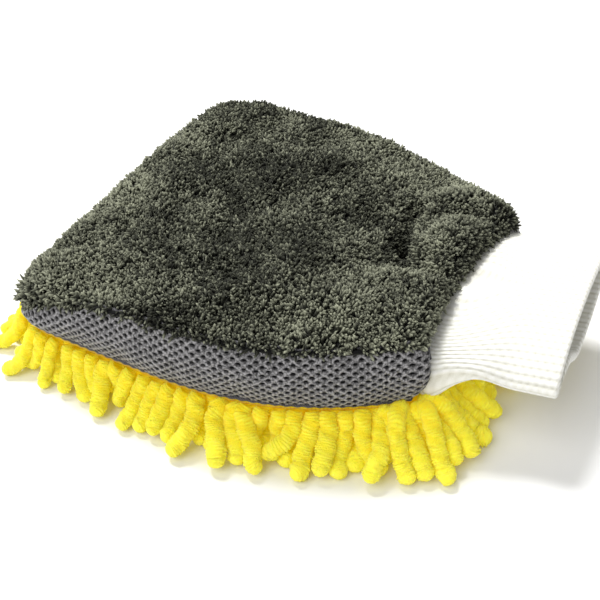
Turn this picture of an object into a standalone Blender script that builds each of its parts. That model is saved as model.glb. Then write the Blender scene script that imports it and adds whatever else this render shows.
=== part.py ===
"""Car wash mitt: a plush panel over a chenille fringe, mesh sides and a rib-knit cuff.

Frame: +X runs from the fingertip end to the cuff, +Y to the mitt's left side,
+Z is up, and the origin lies under the middle of the mitt on the surface it rests on.
"""
import math

import bmesh
import bpy
from mathutils import Vector

# ---- driving dimensions, metres ------------------------------------------------
BODY_LENGTH = 0.207        # fingertip seam to wrist seam
WRIST_X = 0.08156          # where the body ends and the cuff begins
HALF_WIDTH = 0.1015        # widest half-width of the body
WRIST_HALF_WIDTH = 0.056
CORNER_RADIUS = 0.0305     # fingertip corners, seen from above
TAPER_START = 0.08         # distance from the fingertip end where the sides draw in
TAPER_POWER = 2.5
SEAM_Z = 0.027             # lower seam, all round the body
NEAR_SIDE_HEIGHT = 0.026   # mesh gusset on the -Y side
FAR_SIDE_HEIGHT = 0.016    # the +Y side lies flatter
SIDE_RUN = 0.11            # length over which the sides reach full height
SIDE_POWER = 2.4
CROWN = 0.0045             # swell of the plush panel in its middle
FULL_RUN = 0.06            # distance over which the rolled edge changes from tip to side form
TIP_ROLL, SIDE_ROLL = 0.016, 0.010    # width of the rolled edge
TIP_LIFT, SIDE_LIFT = 0.010, 0.004    # height of the rolled edge

SEAM_RADIUS = 0.0011
GAP = 0.0004               # between neighbouring layers
PLUSH_THICKNESS = 0.005
RIM_DROP = 0.0020          # upright rim where the panel meets its seam
RIM_FOOT = 0.0017          # foot of that rim above the middle of the seam
PANEL_BACK = 0.0015        # the panel stops short of the wrist seam
PANEL_CELLS = 18
WADDING_THICKNESS = 0.0035
LINING_THICKNESS = 0.0006
BACKING_THICKNESS = 0.0018
UPPER_SLACK = 0.0009       # between the plush and the wadding under it
WADDING_INSETS = (0.013, 0.030)       # from the sides and from the fingertip end
LINING_INSETS = (0.015, 0.034)
BACKING_INSET = 0.0025     # from the outline, all round
LOWER_WADDING_INSET = 0.0065
LOWER_LINING_INSET = 0.0085
WRIST_BACK = 0.001         # the inner layers stop short of the wrist seam

MESH_THICKNESS = 0.002
MESH_BULGE = 0.003
FULL_BULGE_HEIGHT = 0.012  # a lower gusset bulges less
MESH_INSET = 0.0016
MESH_SEAM_ROOM = 0.0020    # left free under the upper seam
LOWEST_MESH = 0.0015
GUSSET_SHARES = (0.18, 0.995)         # stretch of each long side that has a gusset
UPPER_SEAM_SHARES = (0.17, 0.995)
UPPER_SEAM_INSET = 0.0028
UPPER_SEAM_DROP = 0.0010
LOWER_SEAM_INSET = 0.0014
CORNER_SHARE = 0.25        # part of a long side's stations given to its rounded corner

CHENILLE_ROWS = 13
ROW_PITCH = 0.0152
ROW_WIDTH = 0.0085
NOODLE_PITCH = 0.012
NOODLE_OVERHANG = 0.015    # how far the fringe spreads beyond the body
FRINGE_TOP = 0.0232
COMB_ROOT = 0.0035         # solid strip above the noodles
OUTER_ROW_LEAN = math.radians(34)

CUFF_YAW = math.radians(10)
CUFF_PITCH = math.radians(3)
CUFF_AXIS_Z = 0.040        # height of the cuff's axis at the wrist seam
CUFF_LENGTH = 0.050        # wrist seam to folded rim
CUFF_TURN = 0.030          # stretch over which it turns to its own direction
RIM_SLANT = 0.08           # share by which the far side is longer and the near side shorter
CUFF_WALL = 0.0032         # two layers of rib knit
CUFF_SIDES = 32
CUFF_HALF_WIDTH = 0.050
CUFF_HALF_HEIGHT = 0.0178
NECK_HALF_WIDTH = 0.054    # it is sewn to the wider wrist of the body
NECK_HALF_HEIGHT = 0.0135
NECK_START = 0.0032
NECK_END = 0.0140          # where the stiff part of the cuff begins
HINGE_OFFSET = 0.0045      # flexing line beyond the wrist seam

FINGERTIP_X = WRIST_X - BODY_LENGTH

COLOURS = {
    "plush": ((0.075, 0.080, 0.062), 0.95),
    "mesh": ((0.17, 0.16, 0.175), 0.7),
    "foam": ((0.75, 0.73, 0.66), 0.95),
    "lining": ((0.80, 0.80, 0.78), 0.8),
    "chenille": ((0.95, 0.80, 0.03), 0.9),
    "thread": ((0.10, 0.10, 0.10), 0.8),
    "knit": ((0.90, 0.90, 0.87), 0.9),
}


# ---- scene helpers --------------------------------------------------------------
def clear_scene():
    for item in list(bpy.data.objects):
        bpy.data.objects.remove(item, do_unlink=True)


def make_material(slot):
    colour, roughness = COLOURS[slot]
    material = bpy.data.materials.new(slot)
    material.use_nodes = True
    shader = material.node_tree.nodes["Principled BSDF"]
    shader.inputs["Base Color"].default_value = (*colour, 1.0)
    shader.inputs["Roughness"].default_value = roughness
    shader.inputs["Metallic"].default_value = 0.0
    return material


def add_object(name, data, slot, parent=None):
    item = bpy.data.objects.new(name, data)
    COLLECTION.objects.link(item)
    data.materials.append(make_material(slot))
    if parent is not None:
        item.parent = parent
        item.matrix_parent_inverse = parent.matrix_world.inverted()
    return item


def smooth_step(value):
    value = min(max(value, 0.0), 1.0)
    return value * value * (3.0 - 2.0 * value)


# ---- the body's form --------------------------------------------------------------
def half_width(along):
    """Half-width of the body at a distance from the fingertip end."""
    if along < CORNER_RADIUS:
        inner = CORNER_RADIUS - max(along, 0.0)
        return HALF_WIDTH - CORNER_RADIUS + math.sqrt(CORNER_RADIUS ** 2 - inner ** 2)
    taper = max(along - TAPER_START, 0.0) / (BODY_LENGTH - TAPER_START)
    return HALF_WIDTH - (HALF_WIDTH - WRIST_HALF_WIDTH) * taper ** TAPER_POWER


def side_rise(along, across):
    """Height of the upper seam above the lower one; across runs from -1 to 1."""
    fullness = 1.0 - (1.0 - min(max(along, 0.0) / SIDE_RUN, 1.0)) ** SIDE_POWER
    height = NEAR_SIDE_HEIGHT + (FAR_SIDE_HEIGHT - NEAR_SIDE_HEIGHT) * (across + 1.0) / 2.0
    return height * fullness


def edge_distance(along, y):
    """How far a point of the plan lies inside the body's outline, leaving out the wrist."""
    inner_y = HALF_WIDTH - CORNER_RADIUS
    if along < CORNER_RADIUS and abs(y) > inner_y:
        return CORNER_RADIUS - math.hypot(CORNER_RADIUS - along, abs(y) - inner_y)
    return min(along, half_width(along) - abs(y))


def dome_height(along, across):
    """Top of the plush pile above the surface the mitt rests on."""
    fullness = smooth_step(along / FULL_RUN)
    roll_run = TIP_ROLL + (SIDE_ROLL - TIP_ROLL) * fullness
    lift = TIP_LIFT + (SIDE_LIFT - TIP_LIFT) * fullness
    inward = edge_distance(along, across * half_width(along))
    outward = min(max(1.0 - inward / roll_run, 0.0), 1.0)
    roll = math.sqrt(1.0 - outward ** 2)
    base = SEAM_Z + RIM_FOOT + RIM_DROP + side_rise(along, across)
    return base + lift * roll + CROWN * (1.0 - across ** 2) * roll


def edge_point(share, side, inset=0.0):
    """Point on one long side of the outline: share 0 at the fingertip, 1 at the wrist."""
    def plan(value):
        if value < CORNER_SHARE:
            angle = math.pi / 2 * value / CORNER_SHARE
            along = CORNER_RADIUS * (1.0 - math.cos(angle))
        else:
            straight = (value - CORNER_SHARE) / (1.0 - CORNER_SHARE)
            along = CORNER_RADIUS + (BODY_LENGTH - CORNER_RADIUS) * straight
        return Vector((along, half_width(along)))

    here = plan(share)
    step = 0.004
    tangent = plan(min(share + step, 1.0)) - plan(max(share - step, 0.0))
    normal = Vector((-tangent.y, tangent.x)).normalized()
    here = here - normal * inset
    return Vector((FINGERTIP_X + here.x, side * here.y))


def outline(inset, wrist_inset=0.0, count=22):
    """Closed plan outline of the body, drawn in by an inset."""
    shares = [index / count for index in range(count + 1)]
    near = [edge_point(share, -1, inset) for share in shares]
    far = [edge_point(share, 1, inset) for share in reversed(shares)]
    points = near + far
    limit = WRIST_X - wrist_inset
    return [Vector((min(point.x, limit), point.y)) for point in points]


# ---- shape makers -------------------------------------------------------------------
def sheet(name, slot, place, divisions, thickness, parent=None):
    """A grid bent by place(u, v), both from 0 to 1, and thickened below its face."""
    shape = bmesh.new()
    bmesh.ops.create_grid(shape, x_segments=divisions[0], y_segments=divisions[1], size=0.5)
    for vertex in shape.verts:
        vertex.co = place(vertex.co.x + 0.5, vertex.co.y + 0.5)
    bmesh.ops.remove_doubles(shape, verts=shape.verts, dist=0.00001)
    mesh = bpy.data.meshes.new(name)
    shape.to_mesh(mesh)
    shape.free()
    mesh.shade_smooth()
    item = add_object(name, mesh, slot, parent)
    thicken = item.modifiers.new("thickness", "SOLIDIFY")
    thicken.thickness = thickness
    thicken.offset = -1.0
    thicken.use_even_offset = False
    return item


def slab(name, slot, points, low, high, lean=0.0, width=None):
    """A flat outline given thickness: lying down, or standing as a comb if width is set."""
    curve = bpy.data.curves.new(name, "CURVE")
    curve.dimensions = "2D"
    curve.fill_mode = "BOTH"
    spline = curve.splines.new("POLY")
    spline.points.add(len(points) - 1)
    for handle, point in zip(spline.points, points):
        handle.co = (point[0], point[1], 0.0, 1.0)
    spline.use_cyclic_u = True
    item = add_object(name, curve, slot)
    if width is None:
        curve.extrude = (high - low) / 2.0
        item.location.z = (high + low) / 2.0
    else:
        curve.extrude = width / 2.0
        item.location = (0.0, low, high)
        item.rotation_euler = (math.pi / 2 + lean, 0.0, 0.0)
    return item


def tube(name, slot, points, radius, cyclic=False, parent=None):
    """A round bead or piping along a list of points."""
    curve = bpy.data.curves.new(name, "CURVE")
    curve.dimensions = "3D"
    curve.bevel_depth = radius
    curve.bevel_resolution = 1
    curve.use_fill_caps = not cyclic
    spline = curve.splines.new("POLY")
    spline.points.add(len(points) - 1)
    for handle, point in zip(spline.points, points):
        handle.co = (*point, 1.0)
    spline.use_cyclic_u = cyclic
    return add_object(name, curve, slot, parent)


# ---- the layers of the body -----------------------------------------------------------
def build_plush_panel():
    """Plush top with a rolled edge and a short upright rim, open towards the wrist."""
    rim = 1.0 / PANEL_CELLS

    def place(u, v):
        inner_u = max((u - rim) / (1.0 - rim), 0.0)
        inner_v = min(max((v - rim) / (1.0 - 2.0 * rim), 0.0), 1.0)
        along = (BODY_LENGTH - PANEL_BACK) * (0.12 * inner_u + 0.88 * inner_u ** 1.6)
        across = math.sin((inner_v - 0.5) * math.pi)
        on_rim = u < rim / 2 or abs(v - 0.5) > 0.5 - rim / 2
        height = dome_height(along, across) - (RIM_DROP if on_rim else 0.0)
        return (FINGERTIP_X + along, across * half_width(along), height)

    sheet("plush_panel", "plush", place, (PANEL_CELLS, PANEL_CELLS), PLUSH_THICKNESS)


def build_upper_layer(name, slot, depth, thickness, insets):
    """A padding layer that follows the plush panel from beneath."""
    side_inset, tip_inset = insets

    def place(u, v):
        along = tip_inset + (BODY_LENGTH - WRIST_BACK - tip_inset) * u
        reach = half_width(along) - side_inset
        across = (2.0 * v - 1.0) * reach / half_width(along)
        height = dome_height(along, across) - depth
        return (FINGERTIP_X + along, across * half_width(along), height)

    sheet(name, slot, place, (12, 12), thickness)


def build_body_layers():
    build_plush_panel()
    depth = PLUSH_THICKNESS + UPPER_SLACK
    build_upper_layer("upper_wadding", "foam", depth, WADDING_THICKNESS, WADDING_INSETS)
    depth += WADDING_THICKNESS + GAP
    build_upper_layer("lining_top", "lining", depth, LINING_THICKNESS, LINING_INSETS)
    low = FRINGE_TOP + GAP
    high = low + BACKING_THICKNESS
    slab("chenille_backing", "chenille", outline(BACKING_INSET), low, high)
    low = high + GAP
    high = low + WADDING_THICKNESS
    slab("lower_wadding", "foam", outline(LOWER_WADDING_INSET, WRIST_BACK), low, high)
    low = high + GAP
    high = low + LINING_THICKNESS
    slab("lining_bottom", "lining", outline(LOWER_LINING_INSET, WRIST_BACK), low, high)


def build_gusset(name, side):
    """Air-mesh side strip, tapering to a point at the fingertip corner."""
    start, end = GUSSET_SHARES

    def place(u, v):
        share = start + (end - start) * u
        along = edge_point(share, side).x - FINGERTIP_X
        height = max(side_rise(along, side) - 2 * SEAM_RADIUS - MESH_SEAM_ROOM, LOWEST_MESH)
        bulge = MESH_BULGE * min(height / FULL_BULGE_HEIGHT, 1.0) * math.sin(math.pi * v)
        point = edge_point(share, side, MESH_INSET - bulge)
        return (point.x, point.y, SEAM_Z + SEAM_RADIUS + GAP + height * v)

    item = sheet(name, "mesh", place, (20, 3), MESH_THICKNESS)
    if side > 0:
        item.data.flip_normals()


def upper_seam_points(side, count=22):
    start, end = UPPER_SEAM_SHARES
    points = []
    for index in range(count + 1):
        share = start + (end - start) * index / count
        point = edge_point(share, side, UPPER_SEAM_INSET)
        along = point.x - FINGERTIP_X
        points.append((point.x, point.y, SEAM_Z + side_rise(along, side) - UPPER_SEAM_DROP))
    return points


def build_seams():
    tube("near_upper_seam", "thread", upper_seam_points(-1), SEAM_RADIUS)
    tube("far_upper_seam", "thread", upper_seam_points(1), SEAM_RADIUS)
    shares = [index / 24 for index in range(25)]
    near = [(*edge_point(share, -1, LOWER_SEAM_INSET), SEAM_Z) for share in reversed(shares)]
    far = [(*edge_point(share, 1, LOWER_SEAM_INSET), SEAM_Z) for share in shares]
    tube("lower_seam", "thread", near + far, SEAM_RADIUS)


# ---- the chenille fringe --------------------------------------------------------------
def comb_points(start, end, root, height):
    """Profile of one row of noodles hanging from a strip, spread at both ends."""
    count = max(int(round((end - start) / NOODLE_PITCH)), 3)
    pitch = (end - start) / count
    middle = (start + end) / 2.0

    def splay(x, depth):
        outward = (x - middle) / ((end - start) / 2.0)
        return x + NOODLE_OVERHANG * outward ** 5 * (depth / height) ** 0.8

    points = [(end, 0.0), (start, 0.0)]
    for index in range(count):
        left = start + pitch * index + (0.0 if index == 0 else pitch * 0.06)
        right = start + pitch * (index + 1) - (0.0 if index == count - 1 else pitch * 0.06)
        narrow = pitch * 0.14
        if index > 0:
            points.append((splay(left, root), -root))
        points.append((splay(left + narrow, height), -height))
        points.append((splay(right - narrow, height), -height))
        if index < count - 1:
            points.append((splay(right, root), -root))
    return points


def row_span(y):
    """Where a row at this y starts and ends under the body."""
    steps = 400
    inside = [BODY_LENGTH * index / steps for index in range(steps + 1)
              if half_width(BODY_LENGTH * index / steps) - 0.003 > abs(y) + ROW_WIDTH / 2]
    return FINGERTIP_X + inside[0] + 0.002, FINGERTIP_X + inside[-1] - 0.002


def build_fringe():
    for index in range(CHENILLE_ROWS):
        y = (index - (CHENILLE_ROWS - 1) / 2.0) * ROW_PITCH
        start, end = row_span(y)
        outer = index in (0, CHENILLE_ROWS - 1)
        lean = math.copysign(OUTER_ROW_LEAN, y) if outer else 0.0
        fall = abs(math.sin(lean)) * ROW_WIDTH / 2
        height = (FRINGE_TOP - 2 * fall) / math.cos(lean)
        top = height * math.cos(lean) + fall
        points = comb_points(start, end, COMB_ROOT, height)
        slab(f"chenille_row_{index + 1:02d}", "chenille", points, y, top, lean, ROW_WIDTH)


# ---- the cuff --------------------------------------------------------------------------
def cuff_point(distance, angle):
    """Point on the cuff's outside; its sections turn from square to the body to square to the cuff."""
    turned = smooth_step(distance / CUFF_TURN)
    yaw, pitch = CUFF_YAW * turned, CUFF_PITCH * turned
    forward = Vector((math.cos(CUFF_YAW) * math.cos(CUFF_PITCH),
                      math.sin(CUFF_YAW) * math.cos(CUFF_PITCH), math.sin(CUFF_PITCH)))
    sideways = Vector((-math.sin(yaw), math.cos(yaw), 0.0))
    upward = Vector((-math.sin(pitch), 0.0, math.cos(pitch)))
    half_width = NECK_HALF_WIDTH + (CUFF_HALF_WIDTH - NECK_HALF_WIDTH) * turned
    half_height = NECK_HALF_HEIGHT + (CUFF_HALF_HEIGHT - NECK_HALF_HEIGHT) * turned
    reach = distance * (1.0 + RIM_SLANT * turned * math.cos(angle))
    return (Vector((WRIST_X, 0.0, CUFF_AXIS_Z)) + forward * reach
            + sideways * half_width * math.cos(angle) + upward * half_height * math.sin(angle))


def build_cuff():
    hinge = bpy.data.objects.new("wrist_flex_axis", None)
    COLLECTION.objects.link(hinge)
    hinge.location = (WRIST_X + HINGE_OFFSET, 0.0, CUFF_AXIS_Z)
    bpy.context.view_layer.update()

    def section(start, end):
        def place(u, v):
            return cuff_point(start + (end - start) * u, -2.0 * math.pi * v)
        return place

    sheet("cuff_neck", "knit", section(NECK_START, NECK_END - GAP), (2, CUFF_SIDES), CUFF_WALL)
    sheet("knit_cuff", "knit", section(NECK_END, CUFF_LENGTH), (5, CUFF_SIDES), CUFF_WALL, hinge)
    turns = [2.0 * math.pi * index / CUFF_SIDES for index in range(CUFF_SIDES)]
    ring = [cuff_point(SEAM_RADIUS + GAP, angle) for angle in turns]
    tube("wrist_binding", "knit", ring, SEAM_RADIUS, cyclic=True)


clear_scene()
COLLECTION = bpy.data.collections.new("wash_mitt")
bpy.context.scene.collection.children.link(COLLECTION)
build_body_layers()
build_gusset("near_mesh_gusset", -1)
build_gusset("far_mesh_gusset", 1)
build_seams()
build_fringe()
build_cuff()
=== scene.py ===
"""Looks of the car wash mitt: plush top, air-mesh sides, chenille noodles and a rib-knit cuff.

The mitt lies on its noodles. +X runs from the fingertip end to the cuff and +Z is up.
"""
import math

import bpy
import numpy as np
from mathutils import Matrix, Vector
from mathutils.kdtree import KDTree


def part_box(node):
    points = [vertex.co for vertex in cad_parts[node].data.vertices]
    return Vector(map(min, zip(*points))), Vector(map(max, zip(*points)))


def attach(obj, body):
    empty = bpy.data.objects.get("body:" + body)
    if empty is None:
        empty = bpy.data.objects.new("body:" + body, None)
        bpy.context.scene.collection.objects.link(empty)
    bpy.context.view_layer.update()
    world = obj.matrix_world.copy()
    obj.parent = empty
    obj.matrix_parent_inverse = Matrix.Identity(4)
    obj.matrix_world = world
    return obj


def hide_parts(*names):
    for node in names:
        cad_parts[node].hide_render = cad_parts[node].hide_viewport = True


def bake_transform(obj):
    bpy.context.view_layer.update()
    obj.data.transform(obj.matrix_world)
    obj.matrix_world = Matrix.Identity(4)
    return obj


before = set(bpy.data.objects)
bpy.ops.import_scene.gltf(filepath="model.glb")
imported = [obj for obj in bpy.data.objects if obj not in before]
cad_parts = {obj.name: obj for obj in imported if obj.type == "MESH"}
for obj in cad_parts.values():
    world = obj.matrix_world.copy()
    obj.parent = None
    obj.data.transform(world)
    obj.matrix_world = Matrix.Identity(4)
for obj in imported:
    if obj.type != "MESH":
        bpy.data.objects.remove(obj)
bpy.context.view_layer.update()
MM = 0.001

# ---- sizes: the boxes come from the frame, the other values are the CAD model's own or the looks' ----
PLUSH_LOW, PLUSH_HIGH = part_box("plush_panel")
SEAM_LOW, SEAM_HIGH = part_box("lower_seam")
BINDING_LOW, BINDING_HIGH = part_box("wrist_binding")

FINGERTIP_X = PLUSH_LOW.x
BODY_LENGTH = 207 * MM
WRIST_X = FINGERTIP_X + BODY_LENGTH
HALF_WIDTH = PLUSH_HIGH.y
WRIST_HALF_WIDTH = 56 * MM
CORNER_RADIUS = 30.5 * MM
TAPER_START = 80 * MM
TAPER_POWER = 2.5
SEAM_Z = (SEAM_LOW.z + SEAM_HIGH.z) / 2
NEAR_RISE = 26 * MM
FAR_RISE = 16 * MM
SIDE_RUN = 110 * MM
SIDE_POWER = 2.4
FULL_RUN = 60 * MM
TIP_ROLL, SIDE_ROLL = 16 * MM, 10 * MM
TIP_LIFT, SIDE_LIFT = 12 * MM, 6 * MM
CROWN = 4.5 * MM
RIM_FOOT = 1.4 * MM

NOODLE_RADIUS = 4.3 * MM
FRINGE_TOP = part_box("chenille_backing")[0].z

CUFF_YAW = math.radians(10)
CUFF_PITCH = math.radians(3)
CUFF_Z = (BINDING_LOW.z + BINDING_HIGH.z) / 2
CUFF_LENGTH = 50 * MM
CUFF_TURN = 30 * MM
RIM_SLANT = 0.08
CUFF_HALF_WIDTH = 50 * MM
CUFF_HALF_HEIGHT = 17.8 * MM
NECK_HALF_WIDTH = 54 * MM
NECK_HALF_HEIGHT = 13.5 * MM
NECK_SQUARENESS = 0.42
# How much lower the neck's upper side is at its far end, as a share.
NECK_FAR_DROP = 0.30
CUFF_RIBS = 68


# ---- mesh helpers ----
def new_piece(name, points, faces, material, uv=None, smooth=True):
    """A mesh object from arrays: faces is a list of (n, 3) or (n, 4) index arrays, uv one row per corner."""
    mesh = bpy.data.meshes.new(name)
    corners = np.concatenate([part.ravel() for part in faces]).astype(np.int32)
    sizes = np.concatenate([np.full(len(part), part.shape[1]) for part in faces])
    starts = np.concatenate([[0], np.cumsum(sizes)[:-1]]).astype(np.int32)
    mesh.vertices.add(len(points))
    mesh.vertices.foreach_set("co", np.asarray(points, np.float32).ravel())
    mesh.loops.add(len(corners))
    mesh.loops.foreach_set("vertex_index", corners)
    mesh.polygons.add(len(sizes))
    mesh.polygons.foreach_set("loop_start", starts)
    mesh.update(calc_edges=True)
    mesh.polygons.foreach_set("use_smooth", np.full(len(sizes), smooth))
    if uv is not None:
        layer = mesh.uv_layers.new(name="OFBake")
        layer.data.foreach_set("uv", np.asarray(uv, np.float32).ravel())
    mesh.materials.append(material)
    item = bpy.data.objects.new(name, mesh)
    bpy.context.scene.collection.objects.link(item)
    return item


def point_value(item, name, values):
    """Stores one shading value for each point of a mesh."""
    layer = item.data.attributes.new(name, "FLOAT", "POINT")
    layer.data.foreach_set("value", np.asarray(values, np.float32))


def grid_faces(rows, columns, wrap=False):
    """Quads and corner UVs of a rows x columns grid of points, closed round its columns if wrap."""
    across = columns if wrap else columns - 1
    i, j = np.meshgrid(np.arange(rows - 1), np.arange(across), indexing="ij")
    i, j = i.ravel(), j.ravel()
    following = (j + 1) % columns
    quads = np.stack([i * columns + j, i * columns + following,
                      (i + 1) * columns + following, (i + 1) * columns + j], 1)
    u = np.stack([j, j + 1, j + 1, j], 1) / across
    v = np.stack([i, i, i + 1, i + 1], 1) / (rows - 1)
    return quads, np.stack([u, v], -1)


def grid_piece(name, points, material, turned=True, wrap=False):
    """A mesh object from a (rows, columns, 3) grid of points; turned swaps its two sides."""
    quads, uv = grid_faces(*points.shape[:2], wrap)
    if turned:
        quads, uv = quads[:, ::-1], uv[:, ::-1]
    return new_piece(name, points.reshape(-1, 3), [quads], material, uv)


def unit_grid(rows, columns):
    """Rows and columns of a grid over the unit square."""
    return np.meshgrid(np.linspace(0, 1, rows), np.linspace(0, 1, columns), indexing="ij")


def thicken(item, thickness):
    """Gives a sheet its thickness, inwards from the modelled side."""
    layer = item.modifiers.new("thickness", "SOLIDIFY")
    layer.thickness = thickness
    layer.offset = -1.0


def grid_normals(points):
    """Unit normals of a (rows, columns, 3) grid of points."""
    along = np.gradient(points, axis=0)
    across = np.gradient(points, axis=1)
    return unit(np.cross(along, across))


def unit(vectors):
    """Vectors at length one."""
    return vectors / np.maximum(np.linalg.norm(vectors, axis=-1, keepdims=True), 1e-12)


def running_length(line):
    """How far along a line each of its points lies."""
    return np.concatenate([[0.0], np.cumsum(np.linalg.norm(np.diff(line, axis=0), axis=1))])


def smooth_step(value):
    """Eases from 0 to 1, and stays there outside that range."""
    value = np.clip(value, 0.0, 1.0)
    return value * value * (3.0 - 2.0 * value)


def ripple(x, y, wavelength, seed, octaves=5):
    """Smooth pseudo-random field from -1 to 1, as a sum of plane waves."""
    source = np.random.default_rng(seed)
    total = np.zeros_like(np.asarray(x, float))
    for _ in range(octaves):
        angle, phase = source.uniform(0, math.tau, 2)
        scale = math.tau / (wavelength * source.uniform(0.7, 1.4))
        total += np.sin(scale * (x * math.cos(angle) + y * math.sin(angle)) + phase)
    return total / math.sqrt(octaves)


# ---- materials ----
class Nodes:
    """A short way to build a material's node tree."""

    def __init__(self, name):
        self.material = bpy.data.materials.new(name)
        self.material.use_nodes = True
        self.tree = self.material.node_tree
        self.shader = self.tree.nodes["Principled BSDF"]
        self.coords = self.add("ShaderNodeTexCoord").outputs["Object"]

    def add(self, kind, settings=None, **inputs):
        node = self.tree.nodes.new(kind)
        for key, value in (settings or {}).items():
            setattr(node, key, value)
        for key, value in inputs.items():
            self.put(node.inputs[key.replace("_", " ")], value)
        return node

    def put(self, socket, value):
        if isinstance(value, bpy.types.NodeSocket):
            self.tree.links.new(value, socket)
        else:
            socket.default_value = value

    def ramp(self, fac, stops):
        node = self.tree.nodes.new("ShaderNodeValToRGB")
        self.tree.links.new(fac, node.inputs["Fac"])
        elements = node.color_ramp.elements
        while len(elements) < len(stops):
            elements.new(0.5)
        for element, (position, colour) in zip(elements, stops):
            element.position = position
            element.color = (*colour, 1.0)
        return node.outputs["Color"]

    def noise(self, scale, detail=3.0, roughness=0.5):
        node = self.add("ShaderNodeTexNoise", Vector=self.coords, Scale=scale, Detail=detail,
                        Roughness=roughness)
        return node.outputs["Fac"]

    def bands(self, direction, scale, distortion, detail=2.0):
        node = self.add("ShaderNodeTexWave", {"wave_type": "BANDS", "bands_direction": direction},
                        Vector=self.coords, Scale=scale, Distortion=distortion, Detail=detail)
        return node.outputs["Fac"]

    def math(self, operation, first, second=0.5, third=0.5):
        node = self.tree.nodes.new("ShaderNodeMath")
        node.operation = operation
        for socket, value in zip(node.inputs, (first, second, third)):
            self.put(socket, value)
        return node.outputs[0]

    def attribute(self, name):
        return self.add("ShaderNodeAttribute", {"attribute_name": name}).outputs["Fac"]

    def bump(self, height, strength, distance):
        node = self.add("ShaderNodeBump", Height=height, Strength=strength, Distance=distance)
        self.tree.links.new(node.outputs["Normal"], self.shader.inputs["Normal"])

    def finish(self, colour, roughness=0.9, sheen=0.0, sheen_roughness=0.5, sheen_tint=(1, 1, 1), **more):
        self.put(self.shader.inputs["Base Color"], colour)
        self.put(self.shader.inputs["Roughness"], roughness)
        self.shader.inputs["Sheen Weight"].default_value = sheen
        self.shader.inputs["Sheen Roughness"].default_value = sheen_roughness
        self.shader.inputs["Sheen Tint"].default_value = (*sheen_tint, 1.0)
        for key, value in more.items():
            self.shader.inputs[key.replace("_", " ")].default_value = value
        return self.material


def plush_material(name, gain):
    """Grey-green microfibre: each lock is painted darker towards its root as shade in the pile, and locks
    differ from each other in random tone, painted sheen and painted crease shade.
    """
    made = Nodes(name)
    tip = made.attribute("tip")
    tone_and_painted_light = made.attribute("tone_and_painted_light")
    patch = made.noise(18.0, 5.0, 0.6)
    shade = made.math("MULTIPLY_ADD", tone_and_painted_light, 0.50, made.math("MULTIPLY_ADD", patch, 0.90, -0.50))
    shade = made.math("ADD", shade, made.math("MULTIPLY", tip, 0.60))
    dark, middle, light = (0.0015, 0.0015, 0.001), (0.034, 0.036, 0.024), (0.300, 0.310, 0.222)
    scaled = [tuple(gain * channel for channel in colour) for colour in (dark, middle, light)]
    colour = made.ramp(shade, [(0.27, scaled[0]), (0.62, scaled[1]), (1.0, scaled[2])])
    fibre = made.noise(2600.0, 2.0, 0.7)
    made.bump(fibre, 0.5, 0.3 * MM)
    return made.finish(colour, 0.75, sheen=0.18, sheen_roughness=0.3, sheen_tint=(0.85, 0.88, 0.72),
                       Specular_IOR_Level=0.2)


def chenille_material(name):
    """Lemon chenille with painted shade: darker and more orange near the root and between the ridges."""
    made = Nodes(name)
    ridge = made.attribute("ridge")
    depth = made.attribute("tip")
    fuzz = made.noise(1500.0, 3.0, 0.7)
    patch = made.noise(70.0, 2.0, 0.5)
    # Painted shade: the ridge value darkens the valleys between the ridges, and the tip value darkens towards
    # the root.
    shade = made.math("ADD", made.math("MULTIPLY", ridge, 0.22), made.math("MULTIPLY", depth, 0.42))
    shade = made.math("ADD", shade, made.math("MULTIPLY_ADD", patch, 0.15, made.math("MULTIPLY", fuzz, 0.35)))
    orange, warm, lemon = (0.68, 0.19, 0.0), (1.0, 0.73, 0.004), (1.0, 0.96, 0.08)
    colour = made.ramp(shade, [(0.12, orange), (0.38, warm), (0.72, lemon)])
    made.bump(fuzz, 1.0, 0.7 * MM)
    made.shader.inputs["Subsurface Radius"].default_value = (1.0, 0.50, 0.03)
    # Painted glow: a weak warm emission lifts and warms the noodles' shade, though they are no lamp.
    return made.finish(colour, 0.9, sheen=0.5, sheen_roughness=0.5, sheen_tint=(1.0, 0.95, 0.35),
                       Specular_IOR_Level=0.1, Subsurface_Weight=0.3, Subsurface_Scale=3 * MM,
                       Emission_Color=(1.0, 0.72, 0.0, 1.0), Emission_Strength=0.17)


def mesh_material(name):
    """Grey spacer mesh: fine knitted threads, paler and slightly violet on their crowns, painted darker down
    the walls into the holes as shade.
    """
    made = Nodes(name)
    crown = made.attribute("crown")
    yarn = made.noise(1000.0, 3.0, 0.75)
    patch = made.noise(60.0, 2.0, 0.5)
    shade = made.math("ADD", made.math("MULTIPLY", crown, 0.5), made.math("MULTIPLY_ADD", yarn, 2.2, -0.87))
    shade = made.math("ADD", shade, made.math("MULTIPLY_ADD", patch, 0.16, -0.08))
    dark, middle, light = (0.005, 0.005, 0.005), (0.085, 0.082, 0.083), (0.36, 0.35, 0.355)
    colour = made.ramp(shade, [(0.2, dark), (0.55, middle), (0.95, light)])
    made.bump(yarn, 0.5, 0.25 * MM)
    return made.finish(colour, 0.6, sheen=0.2, Specular_IOR_Level=0.35)


def cloth_material(name, dark, light, thread_scale, roughness=0.85, sheen=0.2, strength=0.35):
    """A plain fine cloth: two crossed sets of threads over a soft mottling."""
    made = Nodes(name)
    weave = made.math("MAXIMUM", made.bands("X", thread_scale, 1.2), made.bands("Y", thread_scale, 1.2))
    patch = made.noise(45.0, 3.0, 0.5)
    shade = made.math("MULTIPLY_ADD", weave, 0.5, made.math("MULTIPLY", patch, 0.5))
    colour = made.ramp(shade, [(0.2, dark), (0.9, light)])
    made.bump(weave, strength, 0.3 * MM)
    return made.finish(colour, roughness, sheen=sheen, Specular_IOR_Level=0.25)


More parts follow.
